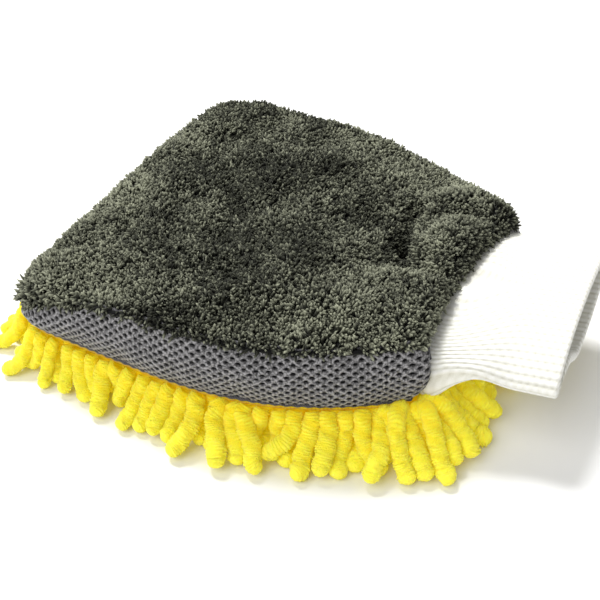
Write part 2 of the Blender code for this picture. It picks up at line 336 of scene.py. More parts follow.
def knit_material(name):
    """White cotton rib: crowns paler and valleys darker and warmer as painted shade, and the small stitches
    along each rib.
    """
    made = Nodes(name)
    crown = made.attribute("crown")
    stitch = made.attribute("stitch")
    yarn = made.noise(1300.0, 3.0, 0.65)
    shade = made.math("ADD", made.math("MULTIPLY", crown, 0.55), made.math("MULTIPLY", stitch, 0.2))
    shade = made.math("ADD", shade, made.math("MULTIPLY", yarn, 0.3))
    valley, slope, crest = (0.38, 0.35, 0.26), (0.70, 0.69, 0.61), (0.87, 0.865, 0.825)
    colour = made.ramp(shade, [(0.1, valley), (0.5, slope), (0.9, crest)])
    made.bump(yarn, 0.45, 0.3 * MM)
    return made.finish(colour, 0.85, sheen=0.3, Specular_IOR_Level=0.2)


def foam_material(name):
    """Pale sponge with small open cells."""
    made = Nodes(name)
    cells = made.add("ShaderNodeTexVoronoi", Vector=made.coords, Scale=900.0).outputs["Distance"]
    patch = made.noise(80.0, 3.0, 0.5)
    shade = made.math("MULTIPLY_ADD", cells, 0.7, made.math("MULTIPLY", patch, 0.4))
    colour = made.ramp(shade, [(0.1, (0.50, 0.47, 0.38)), (0.8, (0.80, 0.77, 0.68))])
    made.bump(cells, 0.6, 0.4 * MM)
    return made.finish(colour, 0.95, Specular_IOR_Level=0.1)


def thread_material(name, dark, light):
    """Twisted yarn: fine slanting bands with some grain."""
    made = Nodes(name)
    twist = made.bands("DIAGONAL", 420.0, 0.6)
    grain = made.noise(1500.0, 2.0, 0.6)
    shade = made.math("MULTIPLY_ADD", twist, 0.6, made.math("MULTIPLY", grain, 0.4))
    colour = made.ramp(shade, [(0.15, dark), (0.9, light)])
    made.bump(twist, 0.5, 0.3 * MM)
    return made.finish(colour, 0.7, sheen=0.2, Specular_IOR_Level=0.3)


# ---- the body's form: the CAD model's, with the settling of its soft sides added ----
def half_width(along):
    """Half-width of the body at a distance from the fingertip end."""
    inner = np.clip(CORNER_RADIUS - along, 0.0, CORNER_RADIUS)
    corner = HALF_WIDTH - CORNER_RADIUS + np.sqrt(CORNER_RADIUS ** 2 - inner ** 2)
    taper = np.clip(along - TAPER_START, 0.0, None) / (BODY_LENGTH - TAPER_START)
    return corner - (HALF_WIDTH - WRIST_HALF_WIDTH) * taper ** TAPER_POWER


def side_rise(along, across):
    """Height of the upper seam over the lower one, from the near side, -1, to the far side, 1."""
    fullness = 1.0 - (1.0 - np.clip(along / SIDE_RUN, 0.0, 1.0)) ** SIDE_POWER
    return (NEAR_RISE + (FAR_RISE - NEAR_RISE) * (across + 1.0) / 2.0) * fullness


def swell(value, middle, width):
    """A bump of height 1; its middle and width are in millimetres."""
    return np.exp(-((value - middle * MM) / (width * MM)) ** 2)


def seam_rise(along, across):
    """Height of the plush's edge over the lower seam, as the soft sides have settled."""
    near, far = (1.0 - across) / 2.0, (1.0 + across) / 2.0
    lift = near * 4.5 * smooth_step(along / (80 * MM))
    lift = lift + far * (4.5 * swell(along, 207, 20) - 4.5 * swell(along, 145, 38))
    return side_rise(along, across) + lift * MM


def edge_distance(along, y):
    """How far a point of the plan lies inside the body's outline, leaving out the wrist."""
    inner_y = HALF_WIDTH - CORNER_RADIUS
    corner = CORNER_RADIUS - np.hypot(CORNER_RADIUS - along, np.abs(y) - inner_y)
    plain = np.minimum(along, half_width(along) - np.abs(y))
    return np.where((along < CORNER_RADIUS) & (np.abs(y) > inner_y), corner, plain)


def edge_line(shares, side, inset=0.0):
    """Plan points along one long side, from the fingertip's middle corner to the wrist."""
    arc = 0.25
    shares = np.clip(np.asarray(shares, float), 0.0, 1.0)

    def plan(value):
        angle = np.pi / 2 * np.clip(value / arc, 0.0, 1.0)
        straight = CORNER_RADIUS + (BODY_LENGTH - CORNER_RADIUS) * (value - arc) / (1.0 - arc)
        along = np.where(value < arc, CORNER_RADIUS * (1.0 - np.cos(angle)), straight)
        return np.stack([along, half_width(along)], -1)

    step = 0.004
    tangent = unit(plan(np.clip(shares + step, 0, 1)) - plan(np.clip(shares - step, 0, 1)))
    normal = np.stack([-tangent[..., 1], tangent[..., 0]], -1)
    inset = np.asarray(inset, float)
    here = plan(shares) - normal * inset[..., None]
    return np.stack([FINGERTIP_X + here[..., 0], side * here[..., 1]], -1)


def dent(x, y, start, end, width, depth):
    """A soft crease or ridge along a line; its ends are (x from the wrist seam, y) in millimetres."""
    seam = np.array([WRIST_X, 0.0])
    start, end = seam + np.array(start) * MM, seam + np.array(end) * MM
    run = end - start
    share = np.clip(((x - start[0]) * run[0] + (y - start[1]) * run[1]) / (run @ run), 0.0, 1.0)
    away = np.hypot(x - start[0] - share * run[0], y - start[1] - share * run[1])
    return depth * MM * np.exp(-(away / (width * MM)) ** 2)


# Start, end, width and height in millimetres; the first three are the fold round the swelling by the cuff.
DENTS = (
    ((-50, 42), (-45, 14), 6.0, -11.0),
    ((-45, 14), (-31, -6), 5.5, -9.0),
    ((-31, -6), (-10, -9), 5.5, -7.5),
    ((-34, -24), (-12, -24), 8.0, 4.0),
    ((-64, 18), (-40, -2), 20, -4.0),
    ((-28, 56), (-10, 56), 14, 6.0),
    ((-24, 16), (-20, 28), 11, 5.0),
    ((-75, -58), (-8, -38), 15, 4.2),
    ((-34, 38), (-8, 42), 6, -4.0),
    ((-203, -70), (-178, -62), 6, -2.4),
    ((-150, -30), (-95, 20), 26, -3.2),
    ((-192, 78), (-165, 92), 22, 3.0),
    ((-110, 90), (-60, 84), 20, -2.5),
)


def slump(x, y):
    """The hollows and swellings that the plush top has settled into."""
    lift = 1.6 * MM * ripple(x, y, 62 * MM, 3) + 0.9 * MM * ripple(x, y, 24 * MM, 4)
    for start, end, width, height in DENTS:
        lift += dent(x, y, start, end, width, height)
    return lift


def top_height(along, across):
    """Height of the plush top: a rolled edge all round, a low crown, and the hollows it has settled into."""
    y = across * half_width(along)
    fullness = smooth_step(along / FULL_RUN)
    roll_run = TIP_ROLL + (SIDE_ROLL - TIP_ROLL) * fullness
    lift = TIP_LIFT + (SIDE_LIFT - TIP_LIFT) * fullness
    inward = edge_distance(along, y)
    roll = np.sqrt(1.0 - np.clip(1.0 - inward / roll_run, 0.0, 1.0) ** 2)
    near, far = (1.0 - across) / 2.0, (1.0 + across) / 2.0
    lift = lift + (4.0 * far * swell(along, 12, 30) - 2.5 * near * smooth_step(along / (80 * MM))) * MM
    settled = slump(FINGERTIP_X + along, y) * smooth_step(inward / (14 * MM))
    rim = SEAM_Z + RIM_FOOT + seam_rise(along, across)
    return rim + (lift + CROWN * (1.0 - across ** 2) + settled) * roll


def cuff_section(distance, angle, inward=0.0):
    """Point on the cuff; distance from the wrist seam, angle round the section, depth below its outside."""
    turned = smooth_step(distance / CUFF_TURN)
    yaw, pitch = CUFF_YAW * turned, CUFF_PITCH * turned
    forward = np.array([math.cos(CUFF_YAW) * math.cos(CUFF_PITCH),
                        math.sin(CUFF_YAW) * math.cos(CUFF_PITCH), math.sin(CUFF_PITCH)])
    zero = np.zeros_like(turned)
    sideways = np.stack([-np.sin(yaw), np.cos(yaw), zero], -1)
    upward = np.stack([-np.sin(pitch), zero, np.cos(pitch)], -1)
    half_width = NECK_HALF_WIDTH + (CUFF_HALF_WIDTH - NECK_HALF_WIDTH) * turned
    half_height = NECK_HALF_HEIGHT + (CUFF_HALF_HEIGHT - NECK_HALF_HEIGHT) * turned
    squareness = NECK_SQUARENESS + (1.0 - NECK_SQUARENESS) * turned
    across = np.sign(np.cos(angle)) * np.abs(np.cos(angle)) ** squareness
    above = np.sign(np.sin(angle)) * np.abs(np.sin(angle)) ** squareness
    far_drop = 1.0 - NECK_FAR_DROP * (1.0 - turned) * np.clip(across, 0.0, 1.0) * (above > 0)
    reach = distance * (1.0 + RIM_SLANT * turned * np.cos(angle))
    centre = np.array([WRIST_X, 0.0, CUFF_Z]) + forward * reach[..., None]
    return (centre + sideways * ((half_width - inward) * across)[..., None]
            + upward * ((half_height - inward) * above * far_drop)[..., None])


# ---- the plush panel ----
PILE_DEPTH = 2.4 * MM
WRIST_ROLL = 9 * MM
WRIST_DIP = 6.5 * MM
FAR_FLARE = 12 * MM
NEAR_FLARE = 6 * MM
CORNER_TRIM = 9 * MM


def wrist_edge(across):
    """Distance from the fingertip end at which the panel stops; it bows in over the cuff."""
    flare = np.where(across > 0, FAR_FLARE * np.abs(across) ** 4, NEAR_FLARE * across ** 2)
    rounded = CORNER_TRIM * np.clip((across - 0.84) / 0.16, 0.0, 1.0) ** 2
    return BODY_LENGTH - WRIST_DIP + flare - rounded


def cuff_top(y):
    """Height of the cuff's upper side next to the wrist seam."""
    share = np.clip(np.abs(y) / NECK_HALF_WIDTH, 0.0, 1.0)
    far_drop = 1.0 - NECK_FAR_DROP * np.clip(y / NECK_HALF_WIDTH, 0.0, 1.0)
    return CUFF_Z + NECK_HALF_HEIGHT * (1.0 - share ** 3.2) ** 0.31 * far_drop


def plush_surface(u, v):
    """Cloth under the pile: u runs from the fingertips to the wrist, v from the near to the far seam."""
    side_share, tip_share, wrist_share = 0.87, 0.09, 0.94
    q = np.abs(2.0 * v - 1.0)
    side_angle = np.clip((1.0 - q) / (1.0 - side_share), 0.0, 1.0) * np.pi / 2
    across = np.where(q > side_share, 1.0 - SIDE_ROLL * (1.0 - np.cos(side_angle)) / HALF_WIDTH,
                      q / side_share * (1.0 - SIDE_ROLL / HALF_WIDTH)) * np.sign(2.0 * v - 1.0)
    tip_angle = np.clip(u / tip_share, 0.0, 1.0) * np.pi / 2
    end = wrist_edge(across)
    wrist_angle = np.clip((u - wrist_share) / (1.0 - wrist_share), 0.0, 1.0) * np.pi / 2
    plain = TIP_ROLL + (end - WRIST_ROLL - TIP_ROLL) * (u - tip_share) / (wrist_share - tip_share)
    along = np.where(u < tip_share, TIP_ROLL * (1.0 - np.cos(tip_angle)), plain)
    along = np.where(u > wrist_share, end - WRIST_ROLL * (1.0 - np.sin(wrist_angle)), along)
    y = across * half_width(np.clip(along, 0.0, BODY_LENGTH))
    x = FINGERTIP_X + along
    z = top_height(along, across)
    rim = SEAM_Z + RIM_FOOT + seam_rise(along, across)
    turn = np.clip(1.0 - (end - along) / WRIST_ROLL, 0.0, 1.0)
    tuck = 1.0 - np.sqrt(1.0 - turn ** 2)
    floor_z = np.maximum(cuff_top(y) + 0.6 * MM, rim)
    z = z + (np.minimum(floor_z, z) - z) * tuck
    return np.stack([x, y, z], -1)


def plush_base(rows, columns):
    """Points and normals of the cloth, sunk by the depth of the pile."""
    u, v = unit_grid(rows, columns)
    points = plush_surface(u, v)
    normals = grid_normals(points)
    return points - normals * PILE_DEPTH, normals


def spread(count, seed):
    """Evenly scattered points in the unit square."""
    step = np.array([0.7548776662466927, 0.5698402909980532])
    start = np.random.default_rng(seed).uniform(0, 1, 2)
    return (start + np.arange(1, count + 1)[:, None] * step) % 1.0


def sample_grid(values, u, v):
    """Values of a grid at places in the unit square, between its points."""
    rows, columns = values.shape[:2]
    a, b = u * (rows - 1), v * (columns - 1)
    i, j = np.minimum(a.astype(int), rows - 2), np.minimum(b.astype(int), columns - 2)
    s, t = a - i, b - j
    if values.ndim == 3:
        s, t = s[:, None], t[:, None]
    return (values[i, j] * (1 - s) * (1 - t) + values[i + 1, j] * s * (1 - t)
            + values[i, j + 1] * (1 - s) * t + values[i + 1, j + 1] * s * t)


def area_weights(points):
    """Area of each cell of a grid of points."""
    along = np.diff(points, axis=0)[:, :-1]
    across = np.diff(points, axis=1)[:-1]
    return np.linalg.norm(np.cross(along, across), axis=-1)


def build_tufts(name, roots, directions, lengths, widths, uv, tone_and_painted_light, material):
    """Many small curled locks: three-sided, fattest above the root, ending in a soft point."""
    source = np.random.default_rng(sum(map(ord, name)))
    count = len(roots)
    bend = unit(source.normal(size=(count, 3)))
    stations = np.array([0.0, 0.40, 0.84, 1.0])
    radii = np.array([0.70, 1.0, 0.84, 0.0])
    side = unit(np.cross(directions, bend))
    other = np.cross(directions, side)
    curl = source.uniform(0.3, 1.0, count)[:, None]
    angles = np.arange(3) * math.tau / 3
    rings = []
    for station, radius in zip(stations, radii):
        centre = roots + (directions * station + side * curl * station ** 2 * 0.55) * lengths[:, None]
        if radius == 0.0:
            rings.append(centre[:, None, :])
            continue
        reach = (widths * radius / 2)[:, None]
        for angle in angles:
            rings.append((centre + (side * math.cos(angle) + other * math.sin(angle)) * reach)[:, None, :])
    points = np.concatenate(rings, 1).reshape(-1, 3)
    points_each = 10
    base = (np.arange(count) * points_each)[:, None]
    quads, quad_uv, tris, tri_uv = [], [], [], []
    for level, k in ((level, k) for level in range(3) for k in range(3)):
        low, following, left, right = 3 * level, (k + 1) % 3, k / 3, (k + 1) / 3
        start, stop = stations[level], stations[level + 1]
        if level < 2:
            quads.append([low + k, low + following, low + 3 + following, low + 3 + k])
            quad_uv.append([(left, start), (right, start), (right, stop), (left, stop)])
        else:
            tris.append([low + k, low + following, points_each - 1])
            tri_uv.append([(left, start), (right, start), ((k + 0.5) / 3, stop)])
    quads = (base[:, None] + np.array(quads)).reshape(-1, 4)
    tris = (base[:, None] + np.array(tris)).reshape(-1, 3)
    # Each lock has its own small patch in the UV map, at its root's place on the cloth.
    patch = 0.0035
    quad_uv = (uv[:, None, None, :] + np.array(quad_uv)[None] * patch).reshape(-1, 2)
    tri_uv = (uv[:, None, None, :] + np.array(tri_uv)[None] * patch).reshape(-1, 2)
    piece = new_piece(name, points, [quads, tris], material, np.concatenate([quad_uv, tri_uv]))
    # Painted shade: each lock's value falls from its tip down to its root, so the root is painted dark.
    tip = np.repeat(np.array([0.0] * 3 + [0.35] * 3 + [0.85] * 3 + [1.0])[None], count, 0).ravel()
    point_value(piece, "tip", tip)
    point_value(piece, "tone_and_painted_light", np.repeat(tone_and_painted_light, points_each))
    return piece


TUFT_COUNT = 43000
TUFT_PIECES = 4
CLUMP_COUNT = 5600
CLUMP_PULL = 0.75
# In millimetres, shortest and longest, narrowest and widest.
TUFT_LENGTHS = (2.9, 4.5)
TUFT_WIDTHS = (1.2, 1.9)


def gather_clumps(roots, normal, points):
    """For each tuft its clump, and the direction along the cloth to that clump's middle."""
    middles = spread(CLUMP_COUNT, 13)
    middles = sample_grid(points, middles[:, 0], middles[:, 1])
    tree = KDTree(CLUMP_COUNT)
    for index, middle in enumerate(middles):
        tree.insert(middle, index)
    tree.balance()
    clump = np.array([tree.find(root)[1] for root in roots])
    reach = middles[clump] - roots
    reach = reach - normal * (reach * normal).sum(-1, keepdims=True)
    return clump, reach / (1.4 * MM)


def build_plush():
    """The cloth, then its pile, spread evenly over it, leaning in soft swirls and gathered in clumps."""
    rows, columns = 220, 220
    points, normals = plush_base(rows, columns)
    # The cloth under the pile is painted near-black, at gain 0.15, as the shade between the locks.
    cloth = grid_piece("plush_cloth", points, plush_material("plush_ground", 0.15))
    point_value(cloth, "tip", np.full(rows * columns, 0.25))
    point_value(cloth, "tone_and_painted_light", np.full(rows * columns, 0.3))
    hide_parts("plush_panel")
    thicken(cloth, 1.2 * MM)

    weights = area_weights(points)
    tried = spread(TUFT_COUNT * 3, 11)
    i = np.minimum((tried[:, 0] * (rows - 1)).astype(int), rows - 2)
    j = np.minimum((tried[:, 1] * (columns - 1)).astype(int), columns - 2)
    density = weights[i, j]
    source = np.random.default_rng(12)
    limit = np.quantile(weights, 0.995)
    kept = source.uniform(0, 1, len(tried)) < density / limit
    places = tried[kept][:TUFT_COUNT]
    roots = sample_grid(points, places[:, 0], places[:, 1])
    normal = unit(sample_grid(normals, places[:, 0], places[:, 1]))
    count = len(roots)
    swirl = math.pi * (0.9 * ripple(roots[:, 0], roots[:, 1], 40 * MM, 21)
                       + 0.5 * ripple(roots[:, 0], roots[:, 1], 15 * MM, 22))
    flow = np.stack([np.cos(swirl), np.sin(swirl), np.zeros(count)], -1)
    flow = flow - normal * (flow * normal).sum(-1, keepdims=True)
    lean = 0.30 + 0.30 * ripple(roots[:, 0], roots[:, 1], 21 * MM, 23)[:, None]
    clump, to_clump = gather_clumps(roots, normal, points)
    directions = unit(normal + flow * lean + to_clump * CLUMP_PULL + source.normal(0, 0.38, (count, 3)))
    clump_rise = source.normal(0, 1, CLUMP_COUNT)[clump]
    lengths = (source.uniform(*TUFT_LENGTHS, count) + 0.45 * clump_rise) * MM
    hanging = np.clip(1.0 - places[:, 1] / 0.07, 0.0, 1.0)[:, None] * (1.0 - 0.9 * places[:, :1])
    directions = unit(directions - np.array([0.0, 0.0, 0.6]) * hanging)
    lengths = lengths * (1.0 + 0.3 * hanging[:, 0])
    widths = source.uniform(*TUFT_WIDTHS, count) * MM
    # Painted sheen: locks near the wrist seam and near the fingertip end are made lighter in tone.
    painted_sheen = smooth_step((roots[:, 0] - WRIST_X + 70 * MM) / (40 * MM)) * 0.28
    painted_sheen = painted_sheen + smooth_step((FINGERTIP_X + 45 * MM - roots[:, 0]) / (40 * MM)) * 0.34
    # Painted shade: locks in the deep creases of the top are made darker in tone.
    crease_shade = np.clip(-slump(roots[:, 0], roots[:, 1]) / (7 * MM) - 0.5, 0.0, 1.0)
    tone_and_painted_light = np.clip(0.44 + painted_sheen - 0.50 * crease_shade + 0.10 * clump_rise + source.normal(0, 0.19, count), 0, 1)
    uv = places[:, ::-1] * 0.99
    material = plush_material("plush_pile", 1.0)
    order = np.argsort(places[:, 0], kind="stable")
    for index, part in enumerate(np.array_split(order, TUFT_PIECES)):
        piece = build_tufts(f"plush_pile_{index + 1}", roots[part], directions[part], lengths[part],
                            widths[part], uv[part], tone_and_painted_light[part], material)
        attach(piece, "mitt")
    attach(cloth, "mitt")


# ---- the mesh gussets ----
GUSSET_START = 0.10
GUSSET_END = 1.0
HOLE_PITCH = 5.3 * MM
HOLE_ROW = 2.1 * MM
HOLE_HALF = (1.16 * MM, 0.70 * MM)
GUSSET_BULGE = 4.0 * MM
END_TURN = 0.03
END_REACH = 3.5 * MM
END_INSET = 7 * MM
SEAM_ALLOWANCE = 1.6 * MM


def gusset_rise(along, side):
    """Height of a gusset's cloth, which goes a little way under the plush."""
    return seam_rise(along, float(side)) + SEAM_ALLOWANCE


def gusset_surface(share, height, side, depth=0.0):
    """Outside of a gusset; height runs from 0 at the lower seam to 1 at the upper one."""
    share, height = np.broadcast_arrays(np.asarray(share, float), np.asarray(height, float))
    plan = edge_line(share, side)
    along = plan[..., 0] - FINGERTIP_X
    rise = np.maximum(gusset_rise(along, side), 0.8 * MM)
    bulge = GUSSET_BULGE * np.clip(rise / (14 * MM), 0, 1) * np.sin(np.pi * np.clip(height, 0, 1)) ** 0.9
    pucker = 0.5 * MM * ripple(share * 0.2, height * 0.02, 17 * MM, 31)
    turned = np.clip((share - (GUSSET_END - END_TURN)) / END_TURN, 0.0, 1.0)
    inset = 1.5 * MM + 0.8 * MM * height - bulge + depth - pucker + END_INSET * (1 - np.sqrt(1 - turned ** 2))
    plan = edge_line(share, side, inset)
    plan[..., 0] += END_REACH * turned * np.sin(np.pi * np.clip(height, 0, 1)) ** 0.6
    z = SEAM_Z + 0.2 * MM + rise * height
    return np.concatenate([plan, z[..., None]], -1)


def arc_lengths(side):
    """Shares of one long side, and how far along the edge each lies."""
    shares = np.linspace(GUSSET_START, GUSSET_END, 400)
    return shares, running_length(edge_line(shares, side))


def build_gusset(name, side, node, material, spacer_material):
    """Spacer mesh: staggered oval holes between rounded strands, over a dark inner layer made near-black as
    painted shade in the holes.
    """
    shares, lengths = arc_lengths(side)
    # The cell round each hole is a hexagon; these are its corners as shares of the pitches.
    far, close = 2.627 / 6, 0.373 / 6
    corners = np.array([(far, 0.0), (close, 0.5), (-close, 0.5), (-far, 0.0), (-close, -0.5), (close, -0.5)])
    corners = corners * np.array([HOLE_PITCH, 2 * HOLE_ROW])
    middles = (corners + np.roll(corners, -1, axis=0)) / 2
    border = np.stack([corners, middles], 1).reshape(-1, 2)
    angles = np.arctan2(border[:, 1] / HOLE_HALF[1], border[:, 0] / HOLE_HALF[0])
    hole = np.stack([np.cos(angles) * HOLE_HALF[0], np.sin(angles) * HOLE_HALF[1]], 1)
    # From the cell's edge into the hole: reach, depth and crown value, which falls to paint shade down into
    # the hole.
    levels = [(1.0, 0.0, 1.0), (0.55, -0.06 * MM, 0.85), (0.0, 0.30 * MM, 0.35), (-0.05, 1.1 * MM, 0.0)]
    points_round = len(border)
    cell_quads = grid_faces(len(levels), points_round, wrap=True)[0]
    source = np.random.default_rng(41)
    flat, depth, crown, quads = [], [], [], []
    total = lengths[-1]
    tallest = 30 * MM
    for row in range(int(tallest / HOLE_ROW) + 1):
        middle_y = (row + 0.35) * HOLE_ROW
        for column in range(int(total / HOLE_PITCH) + 2):
            middle_x = (column + 0.5 * (row % 2)) * HOLE_PITCH
            if middle_x > total:
                continue
            share = np.interp(middle_x, lengths, shares)
            along = edge_line(share, side)[0] - FINGERTIP_X
            rise = float(gusset_rise(along, side))
            if middle_y > rise - 0.2 * HOLE_ROW:
                continue
            base = sum(len(part) for part in flat)
            turn = source.normal(0, 0.03)
            grow = source.uniform(0.9, 1.1)
            for reach, sink, height in levels:
                ring = hole * grow + (border - hole * grow) * max(reach, 0.0)
                if reach < 1.0:
                    cosine, sine = math.cos(turn), math.sin(turn)
                    ring = ring @ np.array([[cosine, -sine], [sine, cosine]])
                flat.append(np.array([middle_x, middle_y]) + ring)
                depth.append(np.full(points_round, sink))
                crown.append(np.full(points_round, height))
            quads.append(cell_quads + base)
    flat, depth, crown = np.concatenate(flat), np.concatenate(depth), np.concatenate(crown)
    share = np.interp(np.clip(flat[:, 0], 0, total), lengths, shares)
    along = edge_line(share, side)[:, 0] - FINGERTIP_X
    rise = gusset_rise(along, side)
    height = np.clip(flat[:, 1] / rise, 0.0, 1.0)
    points = gusset_surface(share, height, side, depth)
    quads = np.concatenate(quads)
    uv = np.stack([np.clip(flat[:, 0] / total, 0, 1), flat[:, 1] / tallest], -1)[quads].reshape(-1, 2)
    if side > 0:
        quads = quads[:, ::-1]
        uv = uv.reshape(-1, 4, 2)[:, ::-1].reshape(-1, 2)
    piece = new_piece(name, points, [quads], material, uv)
    point_value(piece, "crown", crown)
    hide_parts(node)
    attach(piece, "mitt")

    u, v = unit_grid(120, 10)
    points = gusset_surface(GUSSET_START + (GUSSET_END - GUSSET_START) * u, v, side, 1.5 * MM)
    spacer = grid_piece(name + "_spacer", points, spacer_material, turned=side < 0)
    thicken(spacer, 0.8 * MM)
    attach(spacer, "mitt")


# ---- the chenille noodles ----
ROW_NAMES = sorted(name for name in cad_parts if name.startswith("chenille_row_"))
ROW_Y = np.array([(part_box(name)[0].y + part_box(name)[1].y) / 2 for name in ROW_NAMES])
ROW_PITCH = ROW_Y[7] - ROW_Y[6]
# The outermost combs lean outwards, so their rows' places come from the combs next to them.
ROW_Y[0], ROW_Y[-1] = ROW_Y[1] - ROW_PITCH, ROW_Y[-2] + ROW_PITCH
SEGMENTS = 8
SETTLE_STEPS, QUICK_STEPS = 90, 12
TIME_STEP = 0.008
PASSES = 5
GRAVITY = 9.81
CURL = 3.0
DAMPING = 0.86
# Soft noodles press into each other a little, so their balls are smaller than they are.
PACKING = 0.93
STRAIGHTENING = 0.10
# Balls that are closer than this are kept as possible contacts.
CONTACT_REACH = 11 * MM


class Noodles:
    """Every noodle's root, first direction, length, radius, fineness of mesh and painted light at its root.
    """

    def __init__(self):
        self.roots, self.aims, self.lengths, self.radii, self.fine, self.painted_root_light = [], [], [], [], [], []

    def add(self, root, aim, length, radius, fine, painted_root_light):
        self.roots.append((root[0], root[1], FRINGE_TOP - 0.6 * MM))
        self.aims.append(aim)
        self.lengths.append(length)
        self.radii.append(radius)
        self.fine.append(fine)
        self.painted_root_light.append(painted_root_light)


def body_border(inset, spacing):
    """Places and outward directions round the whole body at one inset."""
    shares = np.linspace(0, 1, 300)
    near = edge_line(shares, -1, inset)
    far = edge_line(shares, 1, inset)
    wrist_x = WRIST_X - inset - 1.5 * MM
    near, far = near[near[:, 0] < wrist_x], far[far[:, 0] < wrist_x]
    wrist_y = np.linspace(near[-1, 1], far[-1, 1], 60)[1:-1]
    wrist = np.stack([np.full(len(wrist_y), wrist_x), wrist_y], 1)
    tip_y = np.linspace(far[0, 1], near[0, 1], 60)[1:-1]
    tip = np.stack([np.full(len(tip_y), near[0, 0]), tip_y], 1)
    loop = np.concatenate([near, wrist, far[::-1], tip])
    loop = np.concatenate([loop, loop[:1]])
    run = running_length(loop)
    count = int(run[-1] / spacing)
    at = (np.arange(count) + 0.5) * run[-1] / count
    places = np.stack([np.interp(at, run, loop[:, k]) for k in range(2)], 1)
    ahead = np.stack([np.interp((at + 3 * MM) % run[-1], run, loop[:, k]) for k in range(2)], 1)
    behind = np.stack([np.interp((at - 3 * MM) % run[-1], run, loop[:, k]) for k in range(2)], 1)
    tangent = unit(ahead - behind)
    return places, np.stack([tangent[:, 1], -tangent[:, 0]], 1)


# Inset from the edge, spacing, and the outward and downward parts of the first direction, ring by ring.
FRINGE_RINGS = ((2.2 * MM, 7.4 * MM, 0.60, 0.80),
                (8.6 * MM, 7.9 * MM, 0.42, 0.90),
                (13.4 * MM, 9.5 * MM, 0.50, 0.85))
# Longer noodles at the near wrist corner, lying over the others: back from the seam, y, first direction.
WRIST_CORNER = ((2, -57, (1.0, -0.25, 0.15)),
                (7, -60, (-0.6, -0.9, 0.15)),
                (14, -63, (-0.5, -0.9, 0.10)),
                (4, -52, (1.0, -0.10, 0.10)))


def plant_noodles():
    """Three rings of noodles round the edge, then plainer ones in rows under the body."""
    source = np.random.default_rng(51)
    noodles = Noodles()
    for ring, (inset, spacing, outward, down) in enumerate(FRINGE_RINGS):
        places, normals = body_border(inset, spacing)
        for place, normal in zip(places, normals):
            to_wrist = smooth_step((place[0] - (WRIST_X - 50 * MM)) / (40 * MM))
            to_tip = smooth_step((FINGERTIP_X + 45 * MM - place[0]) / (35 * MM))
            run = (place[0] - FINGERTIP_X) / BODY_LENGTH
            skew = source.normal(0, 0.45)
            sideways = np.array([-normal[1], normal[0]]) * skew
            aim = np.array([*(normal * outward + sideways), -down * (1.0 - 0.5 * to_wrist)])
            aim = aim + np.array([0.40, 0.0, 0.10]) * to_wrist
            aim = aim + np.array([*(normal * 0.4), 0.0]) * to_tip
            length = (22 + 8 * run + 6 * to_wrist + 9 * to_tip + source.uniform(-3.5, 3.5)) * MM
            radius = NOODLE_RADIUS * source.uniform(0.90, 1.08) * (0.76 + 0.24 * smooth_step(run / 0.5))
            sparse = ring < 2 and place[1] < 0 and 0.04 < run < 0.36
            if source.uniform() < 0.70 or not sparse:
                # Painted light at the root: 0.40 for the lit outer ring, 0.05 for the inner rings, painted in
                # shade.
                noodles.add(place, aim, length, radius, True, 0.40 if ring == 0 else 0.05)
    for back, y, aim in WRIST_CORNER:
        noodles.add((WRIST_X - back * MM, y * MM), np.array(aim), 37 * MM, NOODLE_RADIUS, True, 0.40)
    for y in ROW_Y:
        x = FINGERTIP_X + 12 * MM + source.uniform(0, 3) * MM
        while x < WRIST_X - 14 * MM:
            if edge_distance(np.array(x - FINGERTIP_X), np.array(y)) > 18.5 * MM:
                angle = source.uniform(0, math.tau)
                aim = np.array([0.5 * math.cos(angle), 0.5 * math.sin(angle), -0.9])
                noodles.add((x, y + source.uniform(-1.5, 1.5) * MM), aim,
                            source.uniform(24, 28) * MM, NOODLE_RADIUS * 0.9, False, 0.05)
            x += 9.0 * MM
    return noodles


def under_body(points):
    """How far inside the body's plan each point lies; negative outside."""
    along = points[..., 0] - FINGERTIP_X
    inside = edge_distance(along, points[..., 1])
    return np.minimum(inside, WRIST_X - points[..., 0])


